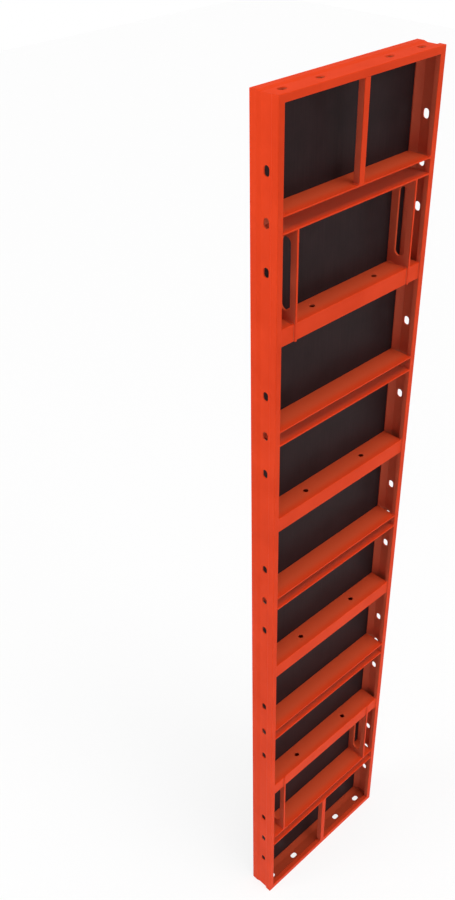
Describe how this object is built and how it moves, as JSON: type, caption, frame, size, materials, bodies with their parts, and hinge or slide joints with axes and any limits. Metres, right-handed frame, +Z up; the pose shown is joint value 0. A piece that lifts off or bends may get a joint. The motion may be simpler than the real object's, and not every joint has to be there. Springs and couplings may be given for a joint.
{
  "type": "concrete formwork panel",
  "caption": "Tall welded steel frame with slotted edge rails, channel and box cross ribs and carrying handles, faced with film coated plywood to cast concrete walls.",
  "frame": {"origin": "middle of the base: halfway across the panel and halfway between the back edges and the casting face", "axes": "+Z up the panel; +Y from the open back towards the casting face; +X across the panel, to the right as seen from the open back"},
  "size_m": [0.6, 0.09, 3],
  "materials": {
    "painted_frame": "satin",
    "filmed_plywood": "satin",
    "sealant": "matte",
    "rivets": "satin"
  },
  "bodies": {
    "root": {"left_side_rail": "painted_frame", "right_side_rail": "painted_frame", "top_rail": "painted_frame", "bottom_rail": "painted_frame", "channel_rib_1": "painted_frame", "channel_rib_2": "painted_frame", "channel_rib_3": "painted_frame", "channel_rib_4": "painted_frame", "channel_rib_5": "painted_frame", "box_rib_1": "painted_frame", "box_rib_2": "painted_frame", "box_rib_3": "painted_frame", "box_rib_4": "painted_frame", "upper_centre_stiffener": "painted_frame", "lower_centre_stiffener": "painted_frame", "upper_left_handle_plate": "painted_frame", "upper_right_handle_plate": "painted_frame", "lower_left_handle_plate": "painted_frame", "lower_right_handle_plate": "painted_frame", "plywood_facing": "filmed_plywood", "facing_seal": "sealant", "channel_rib_rivets": "rivets", "box_rib_rivets": "rivets"}
  },
  "joints": []
}
